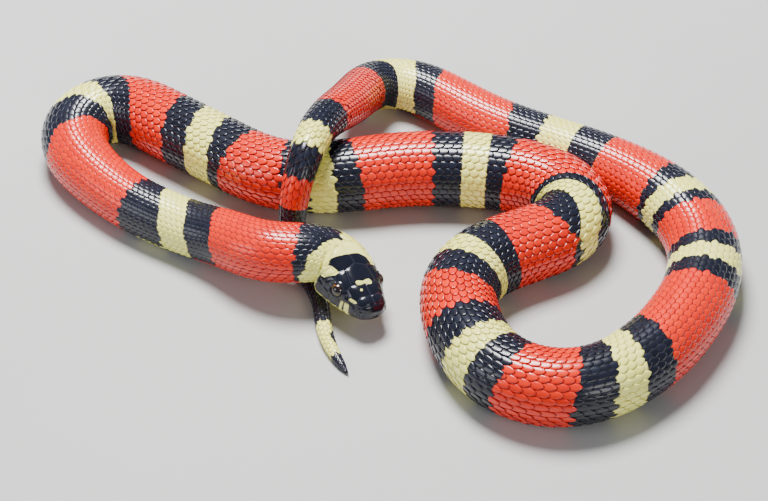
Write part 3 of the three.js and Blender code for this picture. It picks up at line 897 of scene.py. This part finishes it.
def lay(centre_q, centre_a, length, breadth, scute):
    """Copies of the model on the skin: their points, markings and mask of painted edge shade."""
    model = scute_verts if scute else scale_verts
    u = (model[:, 0] + 1) / 2
    v = model[:, 1]
    width = np.ones_like(u) if scute else outline(u)
    bow = plate_bow * (1 - v**2) if scute else 0
    q = centre_q[:, None] + length[:, None] * ((u - 0.5) * overlap + bow)
    a = centre_a[:, None] + breadth[:, None] * v * width
    fold = model[:, 2] < -0.5
    flat = neck_flatness + (1 - neck_flatness) * ease(centre_q, *neck_run)
    size = (np.clip(length / full_length, least_size, 1) * flat)[:, None]
    pillow = 0 if scute else side_curl * v**2 * width**2 + tip_curl * np.clip(u / 0.3 - 2.33, 0, 1) ** 2
    depth = root_depth - slope * u + pillow
    depth = (depth + np.where(fold, rim_fold, 0)) * size
    q = np.where(fold, q - rim_tuck * length[:, None], q)
    qc = np.clip(q, 0.1, whole - 0.9)
    points = surface(qc, a) - outward(qc, a) * depth[..., None]
    mark_q = centre_q[:, None] + grown * (q - centre_q[:, None])
    mark_a = centre_a[:, None] + grown * (a - centre_a[:, None])
    t, lip = from_top(mark_q.ravel(), mark_a.ravel())
    red, cream = markings(mark_q.ravel(), mark_a.ravel(), t, lip)
    # Painted shade: the sides, the rear edge with its hanging rim and the root under the scale in front are
    # marked for the edge tone, partly the dark skin between the scales
    at_side = 0 if scute else np.abs(v) > 0.99
    shade = np.maximum(np.maximum(at_side, np.clip(0.9 - 3 * u, 0, 1)), u > 0.99)
    return points, red, cream, np.broadcast_to(shade, q.shape)


print("a scale reaches", overlap, "times its row's length")

# %% Find where each scale grows


def lattice():
    """Place, angle, length and breadth of all scales and belly plates."""
    scales, scutes = [], []
    q = first_row
    while q < whole - 2:
        half = float(look(np.array([q]))[0, HALF])
        full = q < head_end - 1
        rows = ring_rows if full else rows_at(q)
        step = (2 * math.pi if full else 2 * dorsal_edge) / rows
        length = max(slenderness * step * half, least_length)
        for n in np.arange(rows) - rows // 2:
            place = q + (0.5 * length if n % 2 else 0)
            angle = n * step
            t = from_top(np.array([place]), np.array([angle]))[0]
            if place > float(along(plate_rear, abs(t[0]))) + 0.3:
                scales.append([place, angle, length, step * scale_breadth])
        if not full:
            scutes.append([q, math.pi, length, math.pi - dorsal_edge + 0.5 * step])
        q += length
    return np.array(scales), np.array(scutes)


scales, scutes = lattice()
scales[:, 1] = (scales[:, 1] + math.pi) % (2 * math.pi) - math.pi
print(len(scales), "scales and", len(scutes), "belly plates")

# %% Join them into pieces of coat
# Each scale is one small patch of the bake map: along the snake one way, round it the other
rng = np.random.default_rng(7)
piece_ends = [180, 330, 480, 640, whole]
patch = 0.003


def coat_piece(number, low, high):
    """One mesh of all the scales that grow between two distances from the snout."""
    verts, polygons, uvs = [], [], []
    kept = {"red": [], "cream": [], "shade": [], "tint": []}
    offset = 0
    for group, model, model_faces, is_scute in ((scales, scale_verts, scale_faces, False),
                                                (scutes, scute_verts, scute_faces, True)):
        chosen = group[(group[:, 0] >= low) & (group[:, 0] < high)]
        if not len(chosen):
            continue
        points, red, cream, shade = lay(*chosen.T, is_scute)
        tint = rng.uniform(0, 0.8, len(chosen)) ** 1.5
        many = points.shape[1]
        verts.append(points.reshape(-1, 3) / 1000)
        kept["red"].append(np.clip(0.5 + red, 0, 1))
        kept["cream"].append(np.clip(0.5 + cream, 0, 1))
        kept["shade"].append(shade.ravel())
        kept["tint"].append(np.repeat(tint, many))
        at_u = 0.02 + 0.96 * (chosen[:, 0] - low) / (high - low)
        at_v = 0.5 + 0.48 * chosen[:, 1] / math.pi * (0.99 if is_scute else 0.999)
        for c in range(len(chosen)):
            base = offset + c * many
            for face in model_faces:
                polygons.append([base + i for i in face])
                uvs.append([(at_u[c] + patch / 2 * model[i, 0], at_v[c] + patch / 2 * model[i, 1])
                            for i in face])
        offset += len(chosen) * many
    attributes = {key: np.concatenate(values) for key, values in kept.items()}
    piece = make_mesh(f"coat_{number}", np.vstack(verts), polygons, uvs, attributes, scale_material)
    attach(piece, "root")
    triangles = sum(len(p) - 2 for p in polygons)
    print(piece.name, triangles, "triangles")


start = 0
for number, stop in enumerate(piece_ends, 1):
    coat_piece(number, start, stop)
    start = stop

# %% [markdown]
# ## The eyes
# A snake has no eyelids: a clear scale covers the eye, so it always shines. The pupil is round and the
# iris of this snake is almost black, with a thin orange brown rim that shows at the rear of the eye. A
# glassy shell over a deeper iris could be made, but in an eye of under five millimetres its depth doesn't
# show, so one ball carries the iris under a clear coat.

# %% The finish of the eyes
eye_material, tree, shader, place = new_material("eye", roughness=0.08, coat=1.0, coat_roughness=0.03)
ring = read(tree, "ring")
iris = mix(tree, between(tree, ring, 0.7, 0.75), colour(0.003, 0.003, 0.005), colour(0.32, 0.07, 0.01))
iris = mix(tree, between(tree, ring, 0.88, 0.92), iris, colour(0.01, 0.009, 0.01))
streaks = between(tree, noise(tree, place, 1400), 0.35, 0.65)
iris = mix(tree, mix(tree, 0.8, streaks, read(tree, "dim")), iris, colour(0.012, 0.008, 0.008))
tree.links.new(iris, shader.inputs["Base Color"])
print("the eye reads ring and dim")

# %% Make the eyes
eye_angle, iris_end = math.radians(74), 75
head_axis = unit(look(np.array([20]))[0, MIDDLE] - look(np.array([2]))[0, MIDDLE])
for side, place_of_eye in eye_places.items():
    bpy.ops.object.select_all(action="DESELECT")
    bpy.ops.mesh.primitive_uv_sphere_add(segments=48, ring_count=32, radius=eye_radius / 1000)
    eye = bpy.context.active_object
    eye.name = f"eye_ball_{side}"
    sign = 1 if side == "left" else -1
    outside = outward(np.array([eye_from_snout]), np.array([sign * eye_angle]))[0]
    directions = np.array([v.co.normalized() for v in eye.data.vertices])
    tilt = np.degrees(np.arccos(np.clip(directions @ outside, -1, 1))) / iris_end
    rear = directions @ head_axis
    for key, values in (("ring", tilt), ("dim", np.clip(0.9 - 1.3 * rear, 0, 1))):
        layer = eye.data.attributes.new(key, "FLOAT", "POINT")
        layer.data.foreach_set("value", values.astype(np.float32))
    for vert in eye.data.vertices:
        vert.co = [float(c) for c in np.array(vert.co) + place_of_eye / 1000]
    eye.location = (0, 0, 0)
    eye.data.uv_layers[0].name = "OFBake"
    eye.data.materials.append(eye_material)
    eye.data.polygons.foreach_set("use_smooth", np.ones(len(eye.data.polygons), bool))
    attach(eye, "root")
    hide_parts(f"eye_{side}")
print("two eyes")

# %% [markdown]
# ## Floor, light and camera
# The photograph was taken from above and in front, under a bright open sky. One broad soft light above
# stands for the sky, two weaker ones fill the shadows, and the floor is plain and pale.

# %% Floor
bpy.ops.mesh.primitive_plane_add(size=6)
floor = bpy.context.active_object
floor.name = "floor"
floor_material, tree, shader, place = new_material("floor", roughness=0.7, coat=0.0, coat_roughness=0.3)
patchy = between(tree, noise(tree, place, 3), 0.4, 0.6)
pale = mix(tree, patchy, colour(0.5, 0.5, 0.49), colour(0.54, 0.54, 0.53))
tree.links.new(pale, shader.inputs["Base Color"])
floor.data.materials.append(floor_material)
floor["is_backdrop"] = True
print("floor laid")

# %% Lights


def light(name, where, size, energy, tone):
    """A round soft light that faces the middle of the snake. Its energy is in watts."""
    lamp = bpy.data.lights.new(name, "AREA")
    lamp.shape, lamp.size, lamp.energy, lamp.color = "DISK", size, energy, tone
    holder = bpy.data.objects.new(name, lamp)
    bpy.context.scene.collection.objects.link(holder)
    holder.location = where
    holder.rotation_euler = (-Vector(where)).to_track_quat("-Z", "Y").to_euler()


light("sky", (-0.1, 0.3, 0.8), size=0.38, energy=21.5, tone=(1, 1, 1))
light("fill", (0.5, -0.7, 0.45), size=0.4, energy=2, tone=(1, 0.98, 0.95))
light("side", (-0.7, -0.3, 0.4), size=0.4, energy=1.5, tone=(0.94, 0.97, 1))
world = bpy.data.worlds.new("sky")
world.use_nodes = True
world.node_tree.nodes["Background"].inputs[0].default_value = (0.86, 0.92, 1, 1)
sky_strength = 0.22
world.node_tree.nodes["Background"].inputs[1].default_value = sky_strength
bpy.context.scene.world = world
print("three lights and a pale sky")

# %% Camera
target = np.array([1.56, -1.76, 0]) / 1000
elevation, distance, field_of_view = math.radians(42), 0.652, math.radians(22)
camera_data = bpy.data.cameras.new("camera")
camera_data.sensor_width = 36
camera_data.lens = camera_data.sensor_width / 2 / math.tan(field_of_view / 2)
camera_data.clip_start, camera_data.clip_end = 0.02, 20
camera = bpy.data.objects.new("camera", camera_data)
bpy.context.scene.collection.objects.link(camera)
camera.location = target + distance * np.array([0, -math.cos(elevation), math.sin(elevation)])
camera.rotation_euler = (math.pi / 2 - elevation, 0, 0)
bpy.context.scene.camera = camera
print("camera at", [round(c, 4) for c in camera.location])

# %% Size of everything shown
low, high = [list(corner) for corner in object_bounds()]
print("looks", low, high)
